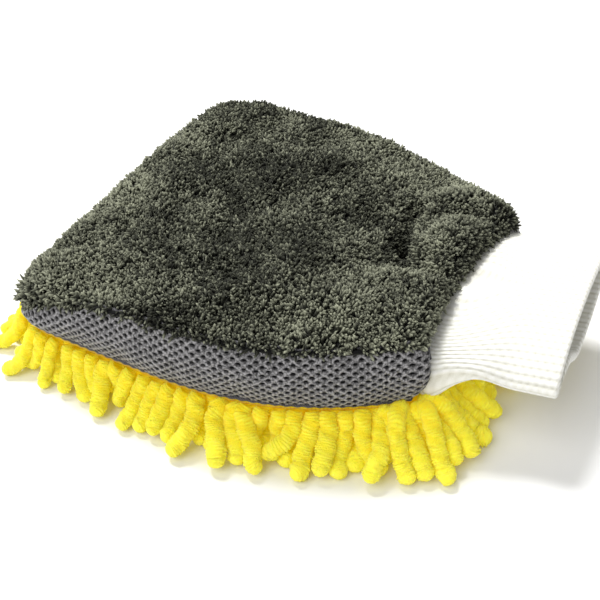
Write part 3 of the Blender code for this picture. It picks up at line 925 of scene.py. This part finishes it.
def settle_noodles(noodles, steps):
    """Lets the noodles fall and push each other aside, as chains of soft balls under the body."""
    roots = np.array(noodles.roots)
    aims = unit(np.array(noodles.aims))
    lengths, radii = np.array(noodles.lengths), np.array(noodles.radii)
    count = len(roots)
    rest = lengths / SEGMENTS
    station = np.arange(SEGMENTS + 1)[None, :, None]
    points = roots[:, None, :] + aims[:, None, :] * station * rest[:, None, None]
    points[..., 2] = np.maximum(points[..., 2], radii[:, None])
    speed = np.zeros_like(points)
    ball = np.repeat(radii * PACKING, SEGMENTS + 1)
    chain = np.repeat(np.arange(count), SEGMENTS + 1)
    link = np.tile(np.arange(SEGMENTS + 1), count)
    curl = np.random.default_rng(52).normal(0, CURL, (count, 1, 3)) * np.array([1.0, 1.0, 0.0])
    for step in range(steps):
        old = points.copy()
        speed[..., 2] -= GRAVITY * TIME_STEP
        speed += curl * TIME_STEP * np.sin(station * math.pi / SEGMENTS * 1.4)
        points = points + speed * TIME_STEP
        # Possible contacts: balls of two chains, or of one chain that has curled back on itself.
        if step % 4 == 0:
            flat = points.reshape(-1, 3).astype(np.float32)
            square = (flat ** 2).sum(1)
            gap = square[:, None] + square[None] - 2 * flat @ flat.T
            first, second = np.nonzero(np.triu(gap < CONTACT_REACH ** 2, 1))
            keep = (chain[first] != chain[second]) | (np.abs(link[first] - link[second]) > 3)
            pairs = first[keep], second[keep]
        for _ in range(PASSES):
            flat = points.reshape(-1, 3)
            away = flat[pairs[0]] - flat[pairs[1]]
            distance = np.maximum(np.linalg.norm(away, axis=1), 1e-7)
            overlap = np.maximum(ball[pairs[0]] + ball[pairs[1]] - distance, 0.0)
            push = away / distance[:, None] * (overlap * 0.5)[:, None]
            moved = np.zeros_like(flat)
            hits = np.full(len(flat), 1e-9)
            for index, sign in ((pairs[0], 1.0), (pairs[1], -1.0)):
                for axis in range(3):
                    moved[:, axis] += np.bincount(index, push[:, axis] * sign, len(flat))
                hits += np.bincount(index, overlap > 0, len(flat))
            points = (flat + moved / np.maximum(hits, 1.0)[:, None] * 1.4).reshape(points.shape)
            for k in range(SEGMENTS):
                run = points[:, k + 1] - points[:, k]
                size = np.maximum(np.linalg.norm(run, axis=1, keepdims=True), 1e-9)
                fix = run / size * (size - rest[:, None])
                if k == 0:
                    points[:, 1] -= fix
                else:
                    points[:, k] += fix * 0.5
                    points[:, k + 1] -= fix * 0.5
            middle = (points[:, :-2] + points[:, 2:]) / 2
            points[:, 1:-1] += (middle - points[:, 1:-1]) * STRAIGHTENING
            start_aim = roots + aims * rest[:, None]
            points[:, 1] += (start_aim - points[:, 1]) * 0.5
            points[:, 0] = roots
            cover = smooth_step(under_body(points) / (4 * MM) + 0.5)
            ceiling = FRINGE_TOP - radii[:, None] * 0.9 + (1 - cover) * 12 * MM
            points[:, 1:, 2] = np.minimum(points[:, 1:, 2], ceiling[:, 1:])
            points[..., 2] = np.maximum(points[..., 2], radii[:, None] * 0.97)
            points[:, 0] = roots
        speed = (points - old) / TIME_STEP * DAMPING
        resting = points[..., 2] < radii[:, None] * 1.05
        speed[resting] *= 0.5
    return points


def smooth_line(points, rings):
    """Resamples chains of points as even smooth curves, all chains at once."""
    knots = points.shape[1]
    before, after = 2 * points[:, :1] - points[:, 1:2], 2 * points[:, -1:] - points[:, -2:-1]
    ghost = np.concatenate([before, points, after], 1)
    at = np.linspace(0, knots - 1, rings)
    k = np.minimum(at.astype(int), knots - 2)
    t = (at - k)[None, :, None]
    a, b, c, d = ghost[:, k], ghost[:, k + 1], ghost[:, k + 2], ghost[:, k + 3]
    square, cube = 2 * a - 5 * b + 4 * c - d, 3 * b - a - 3 * c + d
    return 0.5 * (2 * b + (c - a) * t + square * t ** 2 + cube * t ** 3)


def noodle_mesh(lines, lengths, radii, sides, phases, painted_root_light):
    """Ridged round noodles with domed ends: points, faces, corner UVs and the two shading values."""
    count, rings = lines.shape[:2]
    tangent = unit(np.gradient(lines, axis=1))
    side = unit(np.cross(tangent[:, 0], np.array([0.31, 0.94, 0.12])))
    frames = []
    for ring in range(rings):
        side = unit(side - tangent[:, ring] * (side * tangent[:, ring]).sum(-1, keepdims=True))
        frames.append(side)
    side = np.stack(frames, 1)
    other = np.cross(tangent, side)
    share = np.linspace(0, 1, rings)[None]
    run = share * lengths[:, None]
    from_tip = np.clip((lengths[:, None] - run) / (radii[:, None] * 1.05), 0, 1)
    from_root = np.clip((run + 0.25 * radii[:, None]) / radii[:, None], 0, 1)
    cap = np.sqrt(np.clip(1 - (1 - from_tip) ** 2, 0.0, 1)) * np.sqrt(1 - (1 - from_root) ** 2)
    plump = 1.0 + 0.025 * np.sin(run / (6.3 * MM) + phases[:, None] * 3) + 0.03 * share
    angle = np.arange(sides) * math.tau / sides
    wave = run[..., None] / (1.2 * MM) * math.tau + phases[:, None, None] * 9 + angle
    wander = 0.9 * np.sin(angle * 2 + phases[:, None, None] * 5 + run[..., None] / (3.1 * MM))
    wander = wander + 1.0 * np.sin(angle * 3 - run[..., None] / (1.7 * MM) + phases[:, None, None] * 11)
    patchy = 0.55 + 0.45 * np.sin(angle * 2 + run[..., None] / (1.1 * MM) + phases[:, None, None] * 17)
    ridge = np.abs(np.sin((wave + wander) / 2)) ** 0.9 * patchy
    lump = 0.018 * np.sin(angle * 3 + run[..., None] / (1.9 * MM) + phases[:, None, None] * 7)
    fuzz = np.random.default_rng(62).normal(0, 0.045, ridge.shape)
    reach = (radii[:, None] * cap * plump)[..., None] * (0.89 + 0.18 * ridge + lump + fuzz)
    points = (lines[:, :, None] + side[:, :, None] * (np.cos(angle) * reach)[..., None]
              + other[:, :, None] * (np.sin(angle) * reach)[..., None])
    points[..., 2] = np.maximum(points[..., 2], 0.05 * MM)
    quads, uv = grid_faces(rings, sides, wrap=True)
    quads = (quads[None] + (np.arange(count) * rings * sides)[:, None, None]).reshape(-1, 4)
    # Painted shade: each noodle is darker and more orange towards its root, starting from its painted root
    # light.
    tip = np.broadcast_to((painted_root_light[:, None] + (1.0 - painted_root_light[:, None]) * share)[..., None], ridge.shape)
    return points.reshape(-1, 3), quads, uv, tip.ravel(), ridge.ravel()


def build_noodles(material):
    """Plants and settles the noodles, then builds one piece for each row of the CAD model."""
    noodles = plant_noodles()
    chains = settle_noodles(noodles, SETTLE_STEPS)
    lengths, radii = np.array(noodles.lengths), np.array(noodles.radii)
    fine, painted_root_light = np.array(noodles.fine), np.array(noodles.painted_root_light)
    roots = np.array(noodles.roots)
    fine_mesh, plain_mesh = (110, 18), (26, 9)
    row_of = np.abs(roots[:, 1:2] - ROW_Y[None]).argmin(1)
    phases = np.random.default_rng(61).uniform(0, 1, len(roots))
    for row, node in enumerate(ROW_NAMES):
        points, faces, uvs, tips, ridges = [], [], [], [], []
        offset = 0
        members = np.nonzero(row_of == row)[0]
        cells = int(math.ceil(math.sqrt(len(members))))
        placed = 0
        for detailed, (rings, sides) in ((True, fine_mesh), (False, plain_mesh)):
            chosen = members[fine[members] == detailed]
            if len(chosen) == 0:
                continue
            lines = smooth_line(chains[chosen], rings)
            part = noodle_mesh(lines, lengths[chosen], radii[chosen], sides, phases[chosen], painted_root_light[chosen])
            points.append(part[0])
            faces.append(part[1] + offset)
            slots = placed + np.arange(len(chosen))
            corner = np.stack([slots % cells, slots // cells], -1) / cells
            uv = corner[:, None, None, :] + part[2][None] * (0.94 / cells)
            uvs.append(uv.reshape(-1, 2))
            tips.append(part[3])
            ridges.append(part[4])
            placed += len(chosen)
            offset += len(part[0])
        piece = new_piece(node.replace("row", "noodles"), np.concatenate(points), faces, material,
                          np.concatenate(uvs))
        point_value(piece, "tip", np.concatenate(tips))
        point_value(piece, "ridge", np.concatenate(ridges))
        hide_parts(node)
        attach(piece, "mitt")


# ---- the knit cuff ----
CUFF_LAYERS = 3.2 * MM
CUFF_START = -9 * MM
RIB_HEIGHT = 0.75 * MM
STITCH_LENGTH = 1.45 * MM


def cuff_sag(distance, angle):
    """Settling of the soft tube: low at the seam, arched over the noodles, nearly closed on the near side."""
    turned = smooth_step(distance / CUFF_TURN)
    near = np.clip(-np.cos(angle), 0.0, 1.0)
    below = np.clip(-np.sin(angle), 0.0, 1.0)
    lower_near = np.exp(-((angle - (math.pi + 0.35)) / 0.75) ** 2)
    sewn = -7.0 * MM * swell(distance, 0, 6) * lower_near
    arch = 4.5 * MM * swell(distance, 16, 8) * lower_near
    droop = -3.0 * MM * turned * near ** 2.5
    closing = 1.45 * CUFF_HALF_HEIGHT * turned * smooth_step(near / 0.9) * below
    wave = 0.8 * MM * np.sin(angle * 2 + distance / (19 * MM)) * smooth_step(distance / (20 * MM))
    return sewn + arch + droop + closing + wave


def build_cuff(material):
    """Doubled rib knit: out along the outside, round the fold at the rim and back inside."""
    per_rib, out_rows, back_rows = 6, 56, 44
    columns = CUFF_RIBS * per_rib
    fold = CUFF_LAYERS / 2
    outside = np.linspace(CUFF_START, CUFF_LENGTH - fold, out_rows)
    bend = np.linspace(0, np.pi, 9)[1:-1]
    inside = np.linspace(CUFF_LENGTH - fold, CUFF_START - 4 * MM, back_rows)
    distance = np.concatenate([outside, CUFF_LENGTH - fold + fold * np.sin(bend), inside])
    inward = np.concatenate([np.zeros(out_rows), fold * (1 - np.cos(bend)), np.full(back_rows, CUFF_LAYERS)])
    outer_sign = np.concatenate([np.ones(out_rows), np.cos(bend), -np.ones(back_rows)])

    dense = np.linspace(0, math.tau, 2001)
    section = cuff_section(np.full(len(dense), 28 * MM), dense)
    run = running_length(section)
    around = np.arange(columns) / columns
    angle = np.interp(around * run[-1], run, dense)

    source = np.random.default_rng(71)
    uneven = np.repeat(source.uniform(0.75, 1.1, CUFF_RIBS), per_rib)
    rib = np.abs(np.sin(np.pi * (np.arange(columns) / per_rib + 0.25))) ** 0.6
    grid_distance = np.repeat(distance[:, None], columns, 1)
    grid_angle = np.repeat(angle[None], len(distance), 0)
    fading = smooth_step((distance - CUFF_START) / (10 * MM))[:, None]
    relief = (rib * uneven)[None] * RIB_HEIGHT * outer_sign[:, None] * (0.4 + 0.6 * fading)
    points = cuff_section(grid_distance, grid_angle, inward[:, None] - relief + RIB_HEIGHT)
    points[..., 2] += cuff_sag(grid_distance, grid_angle)
    cuff = grid_piece("rib_knit_cuff", points, material, wrap=True)
    # The crown value paints the rib valleys darker and warmer as shade.
    point_value(cuff, "crown", np.repeat(rib[None], len(distance), 0).ravel())
    stagger = np.pi * (np.arange(columns) // per_rib % 2)
    stitch = 0.5 + 0.5 * np.sin(grid_distance / STITCH_LENGTH * math.tau + stagger)
    point_value(cuff, "stitch", stitch.ravel())
    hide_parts("knit_cuff", "cuff_neck")
    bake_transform(cuff)


# ---- seams, linings and padding ----
def cord_mesh(name, line, radius, sides, material, closed=False, twist=0.0):
    """A round thread or piping along a line, with two lobes that wind round it."""
    line = np.asarray(line, float)
    tangent = unit(np.roll(line, -1, 0) - np.roll(line, 1, 0)) if closed else unit(np.gradient(line, axis=0))
    side = unit(np.cross(tangent, np.array([0.02, 0.03, 1.0])))
    other = np.cross(tangent, side)
    run = running_length(line)
    angle = np.arange(sides) * math.tau / sides
    lobe = 1.0 + 0.22 * np.cos(2 * (angle[None] + run[:, None] / (1.6 * MM)) + twist)
    end = np.ones(len(line))
    if not closed:
        end[0] = end[-1] = 0.25
    reach = radius * lobe * end[:, None]
    points = (line[:, None] + side[:, None] * (np.cos(angle) * reach)[..., None]
              + other[:, None] * (np.sin(angle) * reach)[..., None]).reshape(-1, 3)
    quads, uv = grid_faces(len(line) + int(closed), sides, wrap=True)
    quads = quads % len(points)
    return new_piece(name, points, [quads], material, uv)


def resampled(line, spacing):
    """A line with its points at even steps."""
    line = np.asarray(line, float)
    run = running_length(line)
    at = np.linspace(0, run[-1], max(int(run[-1] / spacing), 2))
    return np.stack([np.interp(at, run, line[:, k]) for k in range(3)], 1)


def build_seams(thread, knit_thread):
    """Piping on the gussets and the lower seam, and the overlock round the wrist."""
    shares = np.linspace(GUSSET_START, GUSSET_END, 160)
    for name, side, node in (("near_gusset_piping", -1, "near_upper_seam"),
                             ("far_gusset_piping", 1, "far_upper_seam")):
        top = gusset_surface(shares, 1.0, side, 1.2 * MM)
        end = gusset_surface(np.full(24, GUSSET_END), np.linspace(1, 0, 24), side, 1.6 * MM)
        piping = cord_mesh(name, resampled(np.concatenate([top, end]), 0.7 * MM), 0.8 * MM, 8, thread)
        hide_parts(node)
        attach(piping, "mitt")
    shares = np.linspace(0, 0.985, 200)
    near = edge_line(shares[::-1], -1, 2.6 * MM)
    far = edge_line(shares, 1, 2.6 * MM)
    loop = np.concatenate([near, far])
    line = np.concatenate([loop, np.full((len(loop), 1), SEAM_Z - 0.6 * MM)], 1)
    hem = cord_mesh("lower_seam_piping", resampled(line, 0.7 * MM), 1.0 * MM, 8, thread)
    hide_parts("lower_seam")
    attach(hem, "mitt")
    angle = np.linspace(0, math.tau, 340, endpoint=False)
    distance = 1.5 * MM + 0.5 * MM * np.sin(angle * 90)
    ring = cuff_section(distance, angle, CUFF_LAYERS + 0.9 * MM)
    ring[:, 2] += cuff_sag(distance, angle)
    binding = cord_mesh("wrist_overlock", ring, 0.7 * MM, 6, knit_thread, closed=True)
    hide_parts("wrist_binding")
    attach(binding, "mitt")


def layer_under_plush(name, depth, side_inset, tip_inset, wrinkle, thickness, material):
    """A layer inside the body that follows the plush top from beneath."""
    u, v = unit_grid(70, 70)
    along = tip_inset + (BODY_LENGTH - 11 * MM - tip_inset) * u
    width = half_width(along)
    across = (2 * v - 1) * (width - side_inset) / width
    x, y = FINGERTIP_X + along, across * width
    z = top_height(along, across) - depth
    z = z + wrinkle * (ripple(x, y, 22 * MM, 81) + 0.5 * ripple(x, y, 9 * MM, 82))
    piece = grid_piece(name, np.stack([x, y, z], -1), material)
    thicken(piece, thickness)
    return piece


def flat_layer(name, inset, base, wrinkle, thickness, material, seed):
    """A layer that lies flat over the noodles."""
    u, v = unit_grid(80, 80)
    along = inset + (BODY_LENGTH - 9 * MM - inset) * (0.25 * u + 0.75 * u ** 1.4)
    width = half_width(along) - inset
    x, y = FINGERTIP_X + along, (2 * v - 1) * width
    z = base + wrinkle * (ripple(x, y, 25 * MM, seed) + 0.4 * ripple(x, y, 8 * MM, seed + 1))
    piece = grid_piece(name, np.stack([x, y, z], -1), material)
    thicken(piece, thickness)
    return piece


def build_layers(foam, lining, backing):
    """Everything inside: sponge, the hand pocket's lining and the cloth that holds the noodles."""
    top_of = {name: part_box(name)[1].z for name in ("lower_wadding", "lining_bottom", "chenille_backing")}
    layers = [
        (layer_under_plush("upper_sponge", 8.5 * MM, 15 * MM, 30 * MM, 0.12 * MM, 3.2 * MM, foam),
         "upper_wadding"),
        (layer_under_plush("pocket_lining_top", 12.5 * MM, 17 * MM, 34 * MM, 0.25 * MM, 0.4 * MM, lining),
         "lining_top"),
        (flat_layer("lower_sponge", 7 * MM, top_of["lower_wadding"], 0.05 * MM, 3.2 * MM, foam, 91),
         "lower_wadding"),
        (flat_layer("pocket_lining_bottom", 9 * MM, top_of["lining_bottom"] + 0.3 * MM, 0.2 * MM, 0.4 * MM,
                    lining, 93), "lining_bottom"),
        (flat_layer("noodle_backing_cloth", 2.5 * MM, top_of["chenille_backing"], 0.05 * MM, 1.4 * MM,
                    backing, 95), "chenille_backing")]
    for piece, node in layers:
        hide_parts(node)
        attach(piece, "mitt")


# ---- studio ----
CAMERA_TARGET = Vector((WRIST_X - 79.8 * MM, -26.2 * MM, 30.0 * MM))
CAMERA_AZIMUTH = math.radians(30.3)
CAMERA_ELEVATION = math.radians(40.88)
CAMERA_DISTANCE = 0.5336
CAMERA_ROLL = math.radians(-1.51)
CAMERA_LENS = 65.94
WORLD_STRENGTH = 0.43
FLOOR_REACH = 3.0
# Direction of travel, strength and spread in degrees.
SUNS = {"key": ((0.42, -0.25, -0.87), 3.1, 16), "fill": ((0.25, 0.62, -0.74), 1.5, 50)}


def build_camera():
    """A camera above and to the near side, turned towards the cuff end."""
    a, e = CAMERA_AZIMUTH, CAMERA_ELEVATION
    back = Vector((math.sin(a) * math.cos(e), -math.cos(a) * math.cos(e), math.sin(e)))
    right = Vector((math.cos(a), math.sin(a), 0.0))
    up = back.cross(right)
    right, up = (right * math.cos(CAMERA_ROLL) + up * math.sin(CAMERA_ROLL),
                 up * math.cos(CAMERA_ROLL) - right * math.sin(CAMERA_ROLL))
    data = bpy.data.cameras.new("camera")
    data.lens = CAMERA_LENS
    data.sensor_width = 36.0
    data.clip_start = 0.01
    camera = bpy.data.objects.new("camera", data)
    bpy.context.scene.collection.objects.link(camera)
    rotation = Matrix((right, up, back)).transposed().to_4x4()
    camera.matrix_world = Matrix.Translation(CAMERA_TARGET + back * CAMERA_DISTANCE) @ rotation
    bpy.context.scene.camera = camera


def add_sun(name, towards, strength, spread):
    """A distant light; towards is the direction its light travels in."""
    data = bpy.data.lights.new(name, "SUN")
    data.energy = strength
    data.angle = math.radians(spread)
    light = bpy.data.objects.new(name, data)
    bpy.context.scene.collection.objects.link(light)
    light.rotation_euler = Vector(towards).to_track_quat("-Z", "Y").to_euler()


def build_studio():
    """White floor and world, a soft key light and a broad fill."""
    scene = bpy.context.scene
    scene.view_settings.view_transform = "Standard"
    world = bpy.data.worlds.new("studio")
    world.use_nodes = True
    world.node_tree.nodes["Background"].inputs["Color"].default_value = (1.0, 1.0, 1.0, 1.0)
    world.node_tree.nodes["Background"].inputs["Strength"].default_value = WORLD_STRENGTH
    scene.world = world
    made = Nodes("studio_floor")
    mottle = made.noise(6.0, 2.0, 0.5)
    colour = made.ramp(mottle, [(0.3, (0.86, 0.86, 0.86)), (0.7, (0.88, 0.88, 0.88))])
    floor_material = made.finish(colour, 0.9, Specular_IOR_Level=0.1)
    corners = np.array([[-1, -1, 0], [1, -1, 0], [1, 1, 0], [-1, 1, 0]]) * FLOOR_REACH
    floor = new_piece("studio_floor", corners, [np.array([[0, 1, 2, 3]])], floor_material, smooth=False)
    for name, (towards, strength, spread) in SUNS.items():
        add_sun(name, towards, strength, spread)


# ---- putting it together ----
build_camera()
build_studio()
build_plush()
gusset_material = mesh_material("air_mesh")
# The inner layer's near-black colour is painted shade seen through the holes.
spacer_material = cloth_material("mesh_spacer", (0.004, 0.004, 0.005), (0.016, 0.015, 0.018), 260.0)
build_gusset("near_air_mesh", -1, "near_mesh_gusset", gusset_material, spacer_material)
build_gusset("far_air_mesh", 1, "far_mesh_gusset", gusset_material, spacer_material)
build_noodles(chenille_material("chenille"))
build_cuff(knit_material("rib_knit"))
build_seams(thread_material("piping", (0.03, 0.03, 0.032), (0.12, 0.115, 0.125)),
            thread_material("overlock", (0.45, 0.45, 0.43), (0.85, 0.85, 0.82)))
build_layers(foam_material("sponge"),
             cloth_material("pocket_lining", (0.62, 0.62, 0.60), (0.86, 0.86, 0.84), 500.0),
             cloth_material("backing_cloth", (0.75, 0.42, 0.0), (0.96, 0.78, 0.02), 400.0))
